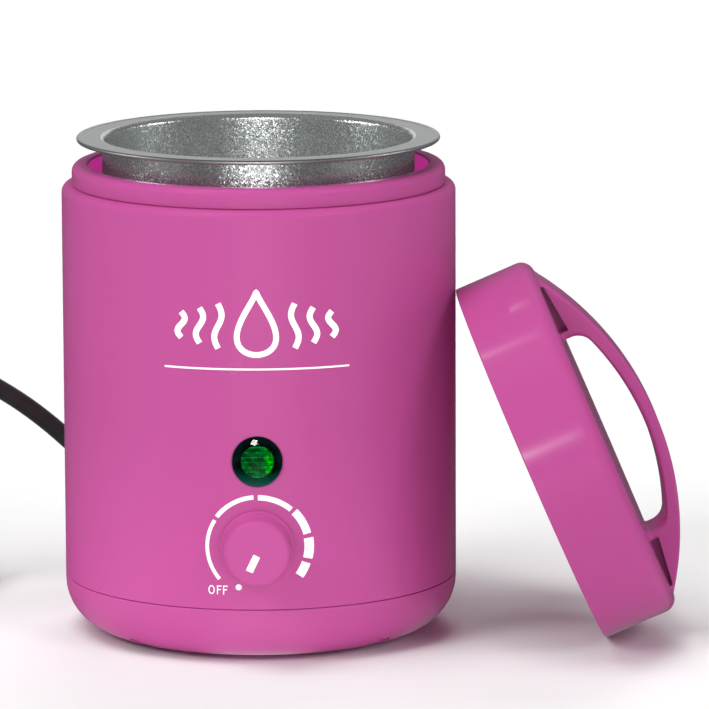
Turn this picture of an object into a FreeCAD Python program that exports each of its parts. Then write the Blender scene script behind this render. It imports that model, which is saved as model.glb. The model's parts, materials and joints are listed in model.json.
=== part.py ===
import FreeCAD, Part
import math
import os

# Wax warmer pot: a small electric drum heater with a lift-out wax pot and a loose lid.
#
# Millimetres. The drum's axis is Z and the floor is z = 0. The front, with the lamp and the knob, faces -Y.
# The lid leans against the drum on the +X side, and the mains cord leaves at the rear.
# Every function in PIECES returns one loose piece, or one set of identical fasteners.

Vector = FreeCAD.Vector

# ---- driving dimensions -------------------------------------------------------------------------
drum_r = 59.0                 # outside of the casing and of the base
wall = 2.2                    # moulded wall thickness
drum_inner_r = drum_r - wall
seam_z = 17.2                 # parting line between the base and the casing
seam_gap = 0.2
shoulder_z = 135.4            # flat top of the casing
collar_z = 141.5              # top of the raised collar
collar_r = 55.9
collar_hole_r = 51.0
collar_root_r = 54.3          # part of the collar that drops through the casing
clamp_z = 126.0               # underside that the heating well is pulled up against

base_under_z = 0.6            # underside of the base, lifted off the floor by the rubber foot
base_floor_z = base_under_z + 2.4
base_edge_r = 15.0
base_inner_edge_r = 10.5
spigot_top_z = 21.2
spigot_r = drum_inner_r - 0.2

post_circle_r = 50.0          # circle of the four base screws
post_angles = (45, 135, 225, 315)
post_top_z = 12.0
post_r = 4.2
boss_r = 3.6                  # bosses of the casing that the screws cut into
boss_top_z = 40.0
screw_hole_r = 1.7
screw_bore_r = 1.25
screw_head_r = 2.9
screw_seat_z = 6.0
vent_span = (18.0, 30.0)      # radial cooling slots in the floor, from the drum's axis
vent_width = 2.5
vent_count = 8

foot_in_r = 36.5
foot_out_r = 42.5
foot_seat = 1.2               # depth of the groove that holds the rubber foot

well_in_r = 47.4
well_wall = 1.0
well_floor = 1.2
well_flange_r = 56.3
well_flange_z = 124.0
well_flange_t = 1.2
pot_seat_z = 71.5             # inside floor of the heating well

pot_r = 46.75
pot_wall = 0.7
pot_flange_r = 54.4
pot_top_z = 149.6
pot_flange_t = 0.8

band_in_r = 48.45
band_t = 2.0
band_z = (84.0, 117.0)
sleeve_in_r = 50.65
sleeve_out_r = 55.6
sleeve_z = (78.0, 120.0)
ring_screw_circle_r = 52.15
ring_screw_r = 1.2
ring_screw_head_r = 2.2
ring_screw_head_z = 122.2
ring_screw_top_z = clamp_z + 6
band_screw_y = 53.2
band_screw_z = 100.5

knob_z = 36.0
knob_r = 11.0
knob_height = 10.8
knob_back_y = -drum_r - 0.15
panel_in_y = -55.0            # flat inner pad behind the knob
panel_out_y = -58.2           # flat outer seat under the knob
shaft_r = 3.0
shaft_gap = 0.05
bush_r = 4.95

lamp_z = 61.5
lamp_r = 7.35
lamp_seat_y = -58.3
lamp_pad_y = -55.4
lamp_tube_r = 6.2

cord_r = 2.85
cord_angle = 125.0            # azimuth of the cord outlet, from +X towards +Y
cord_z = 31.0
boot_flange_r = 6.5
cord_end = 40.0               # stripped inner end of the cord, from the drum's axis
cord_seat = 58.6

block_y = (10.0, 26.0)
block_z = (6.4, 19.4)
terminal_x = (-12.0, -4.0, 4.0, 12.0)
terminal_y = (14.0, 22.0)
wire_z = 12.0
wire_r = 0.9
wire_bend = 3.0

lid_r = 56.7
lid_in_r = 54.9               # clears the pot's flange, so the lid's rim rests on top of the collar
lid_height = 23.8
lid_top_t = 2.2
lid_edge_r = 4.1
lid_tilt = 23.3               # lean of the lid's open face from the vertical
lid_yaw = 1.35                # turn of the leaning lid about the vertical
lid_rim_centre = Vector(81.15, -15.0, 52.0)
arch_rise = 40.3              # top of the handle above the lid's open edge
arch_r = 90.6
arch_hole_rise = 36.4
arch_hole_r = 82.0
arch_hole_half = 31.8
arch_hole_corner_r = 5.4
arch_half_width = 8.8
pocket_span = (34.2, 49.3)    # cored pocket under each foot of the handle, from the lid's axis
pocket_heights = (2.7, 0.9)
pocket_depth = 5.3

plug_x = -104.0
plug_y = 26.0
plug_length = 36.0
plug_mid_z = 6.95


# ---- small tools --------------------------------------------------------------------------------
def upright(r, z):
    return Vector(r, 0, z)


def rounded_path(points, radii, closed):
    """Wire of straight lines through points, with its corners rounded to the given radii."""
    count = len(points)
    starts, middles, ends = [], [], []
    for i, here in enumerate(points):
        if radii[i] == 0 or (not closed and i in (0, count - 1)):
            starts.append(here)
            middles.append(None)
            ends.append(here)
            continue
        before = points[i - 1] - here
        after = points[(i + 1) % count] - here
        before.normalize()
        after.normalize()
        half = before.getAngle(after) / 2
        reach = radii[i] / math.tan(half)
        inward = before + after
        inward.normalize()
        starts.append(here + before * reach)
        middles.append(here + inward * (radii[i] / math.sin(half) - radii[i]))
        ends.append(here + after * reach)
    edges = []
    for i in range(count):
        if middles[i] is not None:
            edges.append(Part.Arc(starts[i], middles[i], ends[i]).toShape())
        follow = (i + 1) % count
        if (closed or follow > 0) and (starts[follow] - ends[i]).Length > 1e-6:
            edges.append(Part.LineSegment(ends[i], starts[follow]).toShape())
    return Part.Wire(edges)


def rounded_wire(corners, place):
    """Closed wire through (u, v, corner radius); place turns (u, v) into a point in space."""
    points = [place(u, v) for u, v, radius in corners]
    return rounded_path(points, [corner[2] for corner in corners], True)


def turned(corners, place=upright, centre=Vector(0, 0, 0), axis=Vector(0, 0, 1)):
    """Solid of revolution of a rounded outline."""
    face = Part.Face(rounded_wire(corners, place))
    return face.revolve(centre, axis, 360)


def rod(radius, start, end):
    along = end - start
    return Part.makeCylinder(radius, along.Length, start, along)


def tube(r_in, r_out, start, end):
    return rod(r_out, start, end).cut(rod(r_in, start, end))


def block(x, y, z):
    """Box from three (low, high) pairs."""
    return Part.makeBox(x[1] - x[0], y[1] - y[0], z[1] - z[0], Vector(x[0], y[0], z[0]))


def polar(radius, degrees, z):
    angle = math.radians(degrees)
    return Vector(radius * math.cos(angle), radius * math.sin(angle), z)


def hexagon(across_flats, start, end):
    """Hexagonal prism from start to end, which lie along Y or along X."""
    along = end - start
    side = Vector(0, 0, 1)
    other = along.cross(side)
    other.normalize()
    corner_r = across_flats / math.sqrt(3)
    points = []
    for k in range(7):
        angle = math.radians(60 * k)
        points.append(start + side * (corner_r * math.cos(angle)) + other * (corner_r * math.sin(angle)))
    return Part.Face(Part.makePolygon(points)).extrude(along)


def swept(path, radius, start, direction):
    """Round bar of the given radius along a wire that leaves start in the given direction."""
    circle = Part.Wire(Part.makeCircle(radius, start, direction))
    return path.makePipeShell([circle], True, True)


def bent_rod(points, radius, bend):
    """Round wire or small pipe along straight runs, with bends of one radius between them."""
    path = rounded_path(points, [bend] * len(points), False)
    return swept(path, radius, points[0], points[1] - points[0])


def one(shape):
    """The single solid of a shape."""
    return shape.removeSplitter().Solids[0]


# ---- outer shells -------------------------------------------------------------------------------
def outer_casing():
    shell = turned([
        (drum_inner_r, seam_z, 0),
        (drum_r, seam_z, 0.25),
        (drum_r, shoulder_z, 2.4),
        (collar_root_r + 0.2, shoulder_z, 0),
        (collar_root_r + 0.2, clamp_z, 0),
        (drum_inner_r, clamp_z, 0),
    ])
    inside = Part.makeCylinder(drum_inner_r + 0.5, shoulder_z, Vector(0, 0, 0))
    knob_pad = block((-14, 14), (-drum_r, panel_in_y), (24, 50)).common(inside)
    lamp_pad = rod(9.2, Vector(0, -drum_r, lamp_z), Vector(0, lamp_pad_y, lamp_z)).common(inside)
    shell = shell.fuse([knob_pad, lamp_pad])
    for degrees in post_angles:
        boss_low = polar(post_circle_r, degrees, post_top_z)
        boss = rod(boss_r, boss_low, polar(post_circle_r, degrees, boss_top_z))
        rib = block((post_circle_r, drum_inner_r + 0.5), (-1.5, 1.5), (spigot_top_z + 0.5, boss_top_z))
        rib.rotate(Vector(0, 0, 0), Vector(0, 0, 1), degrees)
        shell = shell.fuse([boss, rib])
        shell = shell.cut(rod(screw_bore_r, boss_low, polar(post_circle_r, degrees, boss_top_z - 10)))
    cuts = [
        rod(9.6, Vector(0, -drum_r - 5, knob_z), Vector(0, panel_out_y, knob_z)),
        rod(bush_r + 0.1, Vector(0, -drum_r - 5, knob_z), Vector(0, -50, knob_z)),
        rod(lamp_r + 0.1, Vector(0, -drum_r - 5, lamp_z), Vector(0, lamp_seat_y, lamp_z)),
        rod(lamp_tube_r + 0.1, Vector(0, -drum_r - 5, lamp_z), Vector(0, -50, lamp_z)),
        rod(6.8, polar(cord_seat, cord_angle, cord_z), polar(drum_r + 5, cord_angle, cord_z)),
        rod(5.0, polar(50, cord_angle, cord_z), polar(drum_r + 5, cord_angle, cord_z)),
    ]
    return one(shell.cut(cuts))


def top_ring():
    collar = turned([
        (collar_root_r - 4.3, clamp_z, 0),
        (collar_root_r, clamp_z, 0),
        (collar_root_r, shoulder_z, 0),
        (collar_r - 0.3, shoulder_z, 0),
        (collar_r, shoulder_z + 0.3, 0),
        (collar_r, collar_z, 2.4),
        (collar_hole_r, collar_z, 0.6),
        (collar_hole_r, clamp_z + 5.5, 0),
        (collar_root_r - 4.3, clamp_z + 4.5, 0),
    ])
    for degrees in post_angles:
        start = polar(ring_screw_circle_r, degrees, clamp_z - 1)
        collar = collar.cut(rod(ring_screw_r, start, polar(ring_screw_circle_r, degrees, clamp_z + 7)))
    return one(collar)


def base_cover():
    dish = turned([
        (0, base_under_z, 0),
        (drum_r, base_under_z, base_edge_r),
        (drum_r, seam_z - seam_gap, 0.25),
        (spigot_r, seam_z - seam_gap, 0),
        (spigot_r, spigot_top_z, 0.4),
        (spigot_r - wall, spigot_top_z, 0.4),
        (spigot_r - wall, base_floor_z, base_inner_edge_r),
        (0, base_floor_z, 0),
    ])
    outside = turned([
        (0, base_under_z, 0),
        (drum_r, base_under_z, base_edge_r),
        (drum_r, seam_z, 0),
        (0, seam_z, 0),
    ])
    for degrees in post_angles:
        low = polar(post_circle_r, degrees, 0)
        post = rod(post_r, low, polar(post_circle_r, degrees, post_top_z))
        dish = dish.fuse(post.common(outside))
        dish = dish.cut(rod(screw_hole_r, low, polar(post_circle_r, degrees, post_top_z + 1)))
        dish = dish.cut(rod(screw_head_r + 0.4, low, polar(post_circle_r, degrees, screw_seat_z)))
    for x in (-8.0, 8.0):
        post = rod(3.0, Vector(x, 18, base_under_z + 1), Vector(x, 18, block_z[0]))
        dish = dish.fuse(post).cut(rod(1.1, Vector(x, 18, base_under_z + 1), Vector(x, 18, block_z[0] + 1)))
    groove = tube(foot_in_r, foot_out_r, Vector(0, 0, 0), Vector(0, 0, base_under_z + foot_seat))
    dish = dish.cut(groove)
    for k in range(vent_count):
        slot = block(vent_span, (-vent_width / 2, vent_width / 2), (0, base_floor_z + 1))
        slot.rotate(Vector(0, 0, 0), Vector(0, 0, 1), (k - 0.5) * 360 / vent_count)
        dish = dish.cut(slot)
    return one(dish)


def foot_ring():
    return turned([
        (foot_in_r + 0.1, 0, 0.4),
        (foot_out_r - 0.1, 0, 0.4),
        (foot_out_r - 0.1, base_under_z + foot_seat, 0),
        (foot_in_r + 0.1, base_under_z + foot_seat, 0),
    ])


def base_screws():
    screws = []
    for degrees in post_angles:
        seat = polar(post_circle_r, degrees, screw_seat_z)
        head = rod(screw_head_r, polar(post_circle_r, degrees, screw_seat_z - 2.4), seat)
        shank = rod(screw_bore_r, seat, polar(post_circle_r, degrees, screw_seat_z + 20))
        slot = block((-2, 2), (-0.4, 0.4), (screw_seat_z - 3.0, screw_seat_z - 1.6))
        slot.translate(polar(post_circle_r, degrees, 0))
        screws.append(one(head.fuse(shank).cut(slot)))
    return Part.makeCompound(screws)


# ---- wax pot and the heater it drops into -------------------------------------------------------
def wax_pot():
    inner_r = pot_r - pot_wall
    under_flange_z = pot_top_z - pot_flange_t
    cup = turned([
        (0, pot_seat_z, 0),
        (pot_r, pot_seat_z, 5.0),
        (pot_r, under_flange_z, 1.2),
        (pot_flange_r - 0.6, under_flange_z, 0),
        (pot_flange_r - 0.6, pot_top_z, 0),
        (inner_r, pot_top_z, 1.6),
        (inner_r, pot_seat_z + pot_wall, 4.3),
        (0, pot_seat_z + pot_wall, 0),
    ])
    bead = Part.makeTorus(pot_flange_r - 0.65, 0.65, Vector(0, 0, pot_top_z - 0.65))
    return one(cup.fuse(bead))


def heating_well():
    outer_r = well_in_r + well_wall
    cup = turned([
        (0, pot_seat_z - well_floor, 0),
        (outer_r, pot_seat_z - well_floor, 3.0),
        (outer_r, well_flange_z, 0),
        (well_flange_r, well_flange_z, 0),
        (well_flange_r, well_flange_z + well_flange_t, 0),
        (well_in_r, well_flange_z + well_flange_t, 0.9),
        (well_in_r, pot_seat_z, 2.0),
        (0, pot_seat_z, 0),
    ])
    for degrees in post_angles:
        low = polar(ring_screw_circle_r, degrees, well_flange_z - 1)
        cup = cup.cut(rod(ring_screw_r + 0.2, low, polar(ring_screw_circle_r, degrees, clamp_z)))
    return one(cup)


def well_gasket():
    low_z = well_flange_z + well_flange_t
    gasket = tube(collar_root_r - 4.2, well_flange_r, Vector(0, 0, low_z), Vector(0, 0, clamp_z))
    for degrees in post_angles:
        low = polar(ring_screw_circle_r, degrees, low_z - 1)
        gasket = gasket.cut(rod(ring_screw_r + 0.2, low, polar(ring_screw_circle_r, degrees, clamp_z + 1)))
    return one(gasket)


def ring_screws():
    screws = []
    for degrees in post_angles:
        neck = polar(ring_screw_circle_r, degrees, well_flange_z)
        head = rod(ring_screw_head_r, polar(ring_screw_circle_r, degrees, ring_screw_head_z), neck)
        shank = rod(ring_screw_r, neck, polar(ring_screw_circle_r, degrees, ring_screw_top_z))
        screws.append(one(head.fuse(shank)))
    return Part.makeCompound(screws)


def on_band_screw(x):
    return Vector(x, band_screw_y, band_screw_z)


def band_heater():
    low_z, high_z = band_z
    band = tube(band_in_r, band_in_r + band_t, Vector(0, 0, low_z), Vector(0, 0, high_z))
    band = band.cut(block((-3.2, 3.2), (0, 60), (low_z - 1, high_z + 1)))
    for side in (-1, 1):
        x = sorted((3.2 * side, 4.6 * side))
        ear = block(x, (band_in_r + 0.3, 56.0), (low_z + 8, high_z - 8))
        band = band.fuse(ear)
    return one(band.cut(rod(1.6, on_band_screw(-9), on_band_screw(9))))


def band_screw():
    shank = rod(1.5, on_band_screw(-9), on_band_screw(4.6))
    head = rod(2.7, on_band_screw(4.6), on_band_screw(6.8))
    return one(shank.fuse(head))


def band_nut():
    nut = hexagon(5.5, on_band_screw(-4.6), on_band_screw(-7.0))
    return one(nut.cut(rod(1.52, on_band_screw(-10), on_band_screw(0))))


def insulation_sleeve():
    low_z, high_z = sleeve_z
    sleeve = tube(sleeve_in_r, sleeve_out_r, Vector(0, 0, low_z), Vector(0, 0, high_z))
    return one(sleeve.cut(block((-11, 11), (0, 60), (low_z - 1, high_z + 1))))


def bulb_and_capillary():
    bulb = rod(2.35, Vector(-18, -6, 67.9), Vector(18, -6, 67.9))
    bulb = bulb.makeFillet(1.2, [e for e in bulb.Edges if e.Curve.TypeId == "Part::GeomCircle"])
    path = [
        Vector(16, -6, 67.9),
        Vector(25, -6, 67.9),
        Vector(27, -20, 56),
        Vector(8, -33, 43.5),
        Vector(8, -39, 43.5),
    ]
    capillary = bent_rod(path, 0.7, wire_bend)
    return one(bulb.fuse(capillary))


def strap(x, y, radius, z_centre):
    """Sheet-metal saddle, 4 wide, over a round body held under the well."""
    top_z = pot_seat_z - well_floor
    body = tube(radius, radius + 0.5, Vector(x - 2, y, z_centre), Vector(x + 2, y, z_centre))
    body = body.cut(block((x - 3, x + 3), (y - 9, y + 9), (z_centre, z_centre + 9)))
    for side in (-1, 1):
        leg_y = sorted((y + side * radius, y + side * (radius + 0.5)))
        tab_y = sorted((y + side * radius, y + side * (radius + 5)))
        leg = block((x - 2, x + 2), leg_y, (z_centre, top_z))
        tab = block((x - 2, x + 2), tab_y, (top_z - 0.5, top_z))
        body = body.fuse([leg, tab])
    return one(body)


def bulb_clips():
    return Part.makeCompound([strap(x, -6, 2.4, 67.9) for x in (-10, 10)])


def thermal_fuse():
    body = rod(2.0, Vector(-6, 18, 68.2), Vector(6, 18, 68.2))
    leads = rod(0.5, Vector(-10, 18, 68.2), Vector(10, 18, 68.2))
    return one(body.fuse(leads))


def fuse_clip():
    return strap(0, 18, 2.05, 68.2)


# ---- thermostat and knob ------------------------------------------------------------------------
def on_knob_axis(y):
    return Vector(0, y, knob_z)


def thermostat_body():
    case = block((-13.8, 13.8), (panel_in_y, -39), (25, 49))
    upright_edges = [e for e in case.Edges if abs(e.tangentAt(0).y) > 0.9]
    case = case.makeFillet(2.0, upright_edges)
    bush = rod(bush_r, on_knob_axis(panel_in_y + 1), on_knob_axis(-61.4))
    case = case.fuse(bush)
    case = case.cut(rod(shaft_r + shaft_gap, on_knob_axis(-62), on_knob_axis(-47.5)))
    return one(case.cut(rod(4.1, on_knob_axis(-52.1), on_knob_axis(-49.9))))


def thermostat_shaft():
    tip_y = knob_back_y - 8.3
    shaft = rod(shaft_r, on_knob_axis(-47.8), on_knob_axis(tip_y))
    shaft = shaft.fuse(rod(4.0, on_knob_axis(-50), on_knob_axis(-52)))
    flat = block((-5, 5), (tip_y - 1, -62), (knob_z + shaft_r - 1.1, knob_z + 5))
    return one(shaft.cut(flat))


def thermostat_nut():
    nut = hexagon(13.0, on_knob_axis(panel_out_y), on_knob_axis(-60.4))
    return one(nut.cut(rod(bush_r + 0.02, on_knob_axis(-57), on_knob_axis(-62))))


def control_knob():
    def front(r, height):
        return Vector(r, knob_back_y - height, knob_z)

    crown = 0.35
    body = turned([
        (0, 8.7, 0),
        (5.3, 8.7, 0.5),
        (5.3, 3.2, 0),
        (0, 3.2, 0),
    ], front, on_knob_axis(0), Vector(0, 1, 0))
    cap = turned([
        (8.7, 0, 0),
        (knob_r, 0, 0.2),
        (knob_r, 1.5, 0.55),
        (knob_r - 0.9, 1.7, 0),
        (knob_r - 1.3, knob_height - crown, 1.3),
        (0, knob_height, 0),
        (0, 8.5, 0),
        (8.7, 8.5, 0),
    ], front, on_knob_axis(0), Vector(0, 1, 0))
    knob = cap.fuse(body)
    bore = rod(shaft_r + 0.02, on_knob_axis(knob_back_y), on_knob_axis(knob_back_y - 8.6))
    above_flat = block((-5, 5), (-80, -50), (knob_z + shaft_r - 0.7, knob_z + 6))
    return one(knob.cut(bore.cut(above_flat)))


def knob_spring():
    low_z = knob_z + shaft_r - 1.08
    return block((-1.6, 1.6), (knob_back_y - 8.0, -62.6), (low_z, low_z + 0.34))


# ---- pilot lamp ---------------------------------------------------------------------------------
def on_lamp_axis(y):
    return Vector(0, y, lamp_z)


def lamp_lens():
    def front(r, height):
        return Vector(r, lamp_seat_y - height, lamp_z)

    return one(turned([
        (4.9, 0, 0),
        (lamp_r, 0, 0),
        (lamp_r, 1.9, 0.9),
        (5.6, 2.9, 1.5),
        (0, 3.5, 0),
        (0, 1.4, 0),
        (4.9, 1.4, 0),
    ], front, on_lamp_axis(0), Vector(0, 1, 0)))


def lamp_housing():
    shell = tube(4.6, lamp_tube_r, on_lamp_axis(lamp_seat_y), on_lamp_axis(-38))
    back = tube(2.6, lamp_tube_r, on_lamp_axis(-38), on_lamp_axis(-36))
    return one(shell.fuse(back))


def lamp_nut():
    nut = hexagon(15.0, on_lamp_axis(-52.2), on_lamp_axis(lamp_pad_y))
    return one(nut.cut(rod(lamp_tube_r + 0.02, on_lamp_axis(-60), on_lamp_axis(-50))))


def neon_bulb():
    glass = rod(2.5, on_lamp_axis(-34.5), on_lamp_axis(-48))
    tip = Part.makeSphere(2.5, on_lamp_axis(-48))
    return one(glass.fuse(tip))


def lamp_resistor():
    return rod(1.2, Vector(12, -14, 28), Vector(12, -14, 34))


# ---- wiring -------------------------------------------------------------------------------------
def terminal_block():
    body = block((-16, 16), block_y, block_z)
    for x in terminal_x:
        body = body.cut(rod(1.4, Vector(x, 0, wire_z), Vector(x, 40, wire_z)))
        for y in terminal_y:
            body = body.cut(rod(1.7, Vector(x, y, 13.0), Vector(x, y, 20)))
    for x in (-8.0, 8.0):
        body = body.cut(rod(1.3, Vector(x, 18, 0), Vector(x, 18, 20)))
        body = body.cut(rod(2.1, Vector(x, 18, 17.2), Vector(x, 18, 20)))
    return one(body)


def slotted_screw(x, y, low_z, neck_z, top_z, shank_r, head_r):
    shank = rod(shank_r, Vector(x, y, low_z), Vector(x, y, neck_z))
    head = rod(head_r, Vector(x, y, neck_z), Vector(x, y, top_z))
    slot = block((x - 3, x + 3), (y - 0.3, y + 0.3), (top_z - 0.6, top_z + 1))
    return one(shank.fuse(head).cut(slot))


def terminal_screws():
    return Part.makeCompound([
        slotted_screw(x, y, 13.2, 15.0, 18.6, 1.3, 1.65) for x in terminal_x for y in terminal_y
    ])


def block_screws():
    return Part.makeCompound([slotted_screw(x, 18, 2.4, 17.2, 18.9, 1.1, 2.05) for x in (-8.0, 8.0)])


def lead(*points):
    return bent_rod([Vector(*p) for p in points], wire_r, wire_bend)


def cord_core(side, inset):
    """Point on one core, a short way in from the stripped end of the cord."""
    return polar(cord_end - inset, cord_angle, cord_z) + polar(1.2 * side, cord_angle - 90, 0)


def live_wire():
    return lead(
        cord_core(-1, 0),
        cord_core(-1, 6),
        (-17, 36, 18),
        (-12, 36, wire_z),
        (-12, 23, wire_z),
    )


def neutral_wire():
    return lead(
        cord_core(1, 0),
        cord_core(1, 6),
        (0, 43, 26),
        (12, 43, wire_z),
        (12, 23, wire_z),
    )


def heater_leads():
    feed = lead(
        (17, 46.6, 84),
        (17, 46.6, 66),
        (5, 36, 32),
        (4, 34, wire_z),
        (4, 23, wire_z),
    )
    to_fuse = lead(
        (-17, 46.6, 84),
        (-17, 46.6, 64.5),
        (-17, 18, 64.5),
        (-14, 18, 68.2),
        (-10, 18, 68.2),
    )
    from_fuse = lead(
        (10, 18, 68.2),
        (14, 18, 68.2),
        (14, 26, 58),
        (-3, 36, 32),
        (-4, 34, wire_z),
        (-4, 23, wire_z),
    )
    return Part.makeCompound([feed, to_fuse, from_fuse])


def lamp_leads():
    left = lead(
        (-1.2, -34.5, lamp_z),
        (-1.2, -30, lamp_z),
        (-15, -18, 44),
        (-15, -4, 18),
        (-12, 1, wire_z),
        (-12, 13, wire_z),
    )
    upper = lead(
        (1.2, -34.5, lamp_z),
        (1.2, -30, lamp_z),
        (12, -14, 50),
        (12, -14, 34),
    )
    lower = lead(
        (12, -14, 28),
        (12, -14, 20),
        (12, 1, wire_z),
        (12, 13, wire_z),
    )
    return Part.makeCompound([left, upper, lower])


def thermostat_leads():
    wires = []
    for side in (-1, 1):
        wires.append(lead(
            (side * 7, -39, 31),
            (side * 7, -32, 31),
            (side * 5, -16, 16),
            (side * 4, -4, wire_z),
            (side * 4, 13, wire_z),
        ))
    return Part.makeCompound(wires)


def outlet(distance, z=cord_z):
    """Point on the cord outlet's axis, at a distance from the drum's axis."""
    return polar(distance, cord_angle, z)


def cord_boot():
    boot = rod(boot_flange_r, outlet(cord_seat), outlet(cord_seat + 2.2))
    boot = boot.makeFillet(0.6, [boot.Edges[0], boot.Edges[2]])
    tail = Part.makeCone(4.9, 3.7, 15, outlet(cord_seat + 2), outlet(1) - outlet(0))
    neck = rod(4.9, outlet(56.0), outlet(cord_seat))
    inner = rod(6.0, outlet(54.0), outlet(56.0))
    boot = boot.fuse([tail, neck, inner])
    for k in range(4):
        middle = cord_seat + 4.4 + 3.0 * k
        boot = boot.cut(tube(3.55, 6.0, outlet(middle), outlet(middle + 1.1)))
    return one(boot.cut(rod(cord_r + 0.03, outlet(40), outlet(90))))


def cord_tie():
    loop = tube(cord_r + 0.03, cord_r + 1.1, outlet(48.5), outlet(51.3))
    head = block((48.0, 51.8), (-2.2, 2.2), (cord_r + 0.6, cord_r + 4.2))
    head.rotate(Vector(0, 0, 0), Vector(0, 0, 1), cord_angle)
    head.translate(Vector(0, 0, cord_z))
    return one(loop.fuse(head))


def mains_cord():
    straight = Part.LineSegment(outlet(cord_end), outlet(77)).toShape()
    points = [
        outlet(77),
        Vector(-62.6, 73, 43.9),
        Vector(-82.5, 72, 59.2),
        Vector(-105, 64, 69.5),
        Vector(-127, 48, 66),
        Vector(-143, 29, 46),
        Vector(-149, 11, 20),
        Vector(-145, -6, 4.6),
        Vector(-133, -17, 3.2),
        Vector(-116, -16, 3.2),
        Vector(-105.5, 0, 4.6),
        Vector(plug_x, plug_y, plug_mid_z),
    ]
    curve = Part.BSplineCurve()
    leave = outlet(1) - outlet(0)
    curve.interpolate(Points=points, InitialTangent=leave, FinalTangent=Vector(0, 1, 0), Scale=False)
    path = Part.Wire([straight, curve.toShape()])
    return one(swept(path, cord_r, outlet(cord_end), outlet(1) - outlet(0)))


def plug_outline(half_x, half_z, y):
    corners = [(-half_x, -half_z, 3.2), (half_x, -half_z, 3.2), (half_x, half_z, 3.2), (-half_x, half_z, 3.2)]
    return rounded_wire(corners, lambda u, v: Vector(plug_x + u, y, plug_mid_z + v))


def plug_body():
    sections = (
        (4.6, 4.2, 0.0),
        (8.5, 6.0, 7.0),
        (12.5, 6.8, 16.0),
        (12.5, 6.8, 27.0),
        (16.5, 6.8, 33.0),
        (16.5, 6.8, plug_length),
    )
    wires = [plug_outline(half_x, half_z, plug_y + along) for half_x, half_z, along in sections]
    body = Part.makeLoft(wires, True, True)
    front_y = plug_y + plug_length
    for side in (-1, 1):
        start = Vector(plug_x + side * 9.3, front_y - 12, plug_mid_z)
        body = body.cut(rod(2.4, start, start + Vector(0, 20, 0)))
    return one(body)


def plug_pins():
    pins = []
    for side in (-1, 1):
        start = Vector(plug_x + side * 9.3, plug_y + plug_length - 12, plug_mid_z)
        pin = rod(2.4, start, start + Vector(0, 21, 0))
        tip = rod(2.0, start + Vector(0, 21, 0), start + Vector(0, 31, 0))
        pins.append(one(pin.fuse(tip)))
    return Part.makeCompound(pins)


# ---- lid ----------------------------------------------------------------------------------------
def arch_point(radius, rise, across):
    """Point of an arch with its crown at the given rise, at a distance across from the crown."""
    return Vector(across, 0, rise - radius + math.sqrt(radius ** 2 - across ** 2))


def arch_plate():
    foot = lid_height - 1.0
    half = math.sqrt(arch_r ** 2 - (arch_r - arch_rise + foot) ** 2)
    crown = Vector(0, 0, arch_rise)
    arc = Part.Arc(Vector(-half, 0, foot), crown, Vector(half, 0, foot)).toShape()
    line = Part.LineSegment(Vector(half, 0, foot), Vector(-half, 0, foot)).toShape()
    plate = Part.Face(Part.Wire([arc, line])).extrude(Vector(0, 2 * arch_half_width, 0))
    plate.translate(Vector(0, -arch_half_width, 0))
    rim = [e for e in plate.Edges if e.Curve.TypeId == "Part::GeomCircle"]
    return plate.makeFillet(1.6, rim)


def arch_hole():
    shoulder = arch_point(arch_hole_r, arch_hole_rise, arch_hole_half)
    deep = arch_hole_half + 30
    left = Vector(-arch_hole_half, 0, shoulder.z)
    arc = Part.Arc(left, Vector(0, 0, arch_hole_rise), shoulder).toShape()
    sides = [
        shoulder,
        Vector(arch_hole_half, 0, lid_height - deep),
        Vector(-arch_hole_half, 0, lid_height - deep),
        left,
    ]
    edges = [Part.LineSegment(sides[i], sides[i + 1]).toShape() for i in range(3)]
    hole = Part.Face(Part.Wire([arc] + edges)).extrude(Vector(0, 4 * arch_half_width, 0))
    hole.translate(Vector(0, -2 * arch_half_width, 0))
    corners = []
    for edge in hole.Edges:
        middle = edge.CenterOfMass
        if abs(edge.tangentAt(edge.FirstParameter).y) > 0.9 and middle.z > lid_height:
            corners.append(edge)
    return hole.makeFillet(arch_hole_corner_r, corners)


def foot_pocket(end, side):
    """Cored pocket under one foot of the handle, open to one side."""
    near, far = pocket_span
    near_height, far_height = pocket_heights
    outline = Part.makePolygon([
        Vector(end * near, 0, lid_height),
        Vector(end * far, 0, lid_height),
        Vector(end * far, 0, lid_height + far_height),
        Vector(end * near, 0, lid_height + near_height),
        Vector(end * near, 0, lid_height),
    ])
    pocket = Part.Face(outline).extrude(Vector(0, side * (pocket_depth + 1), 0))
    pocket.translate(Vector(0, side * (arch_half_width - pocket_depth), 0))
    return pocket


def on_hole_rim(edge):
    """True for the edges of the finger hole, on either side of the handle."""
    span = edge.BoundBox
    on_side = abs(abs(edge.CenterOfMass.y) - arch_half_width) < 1e-6
    return on_side and max(-span.XMin, span.XMax) < arch_hole_half + 0.1


def on_foot_outline(edge):
    """True for the edges where a foot of the handle meets the flat top of the lid."""
    span = edge.BoundBox
    on_top = abs(span.ZMin - lid_height) < 1e-4 and abs(span.ZMax - lid_height) < 1e-4
    return on_top and edge.Length < 40 and abs(edge.CenterOfMass.x) < lid_r - lid_edge_r - 0.3


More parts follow.
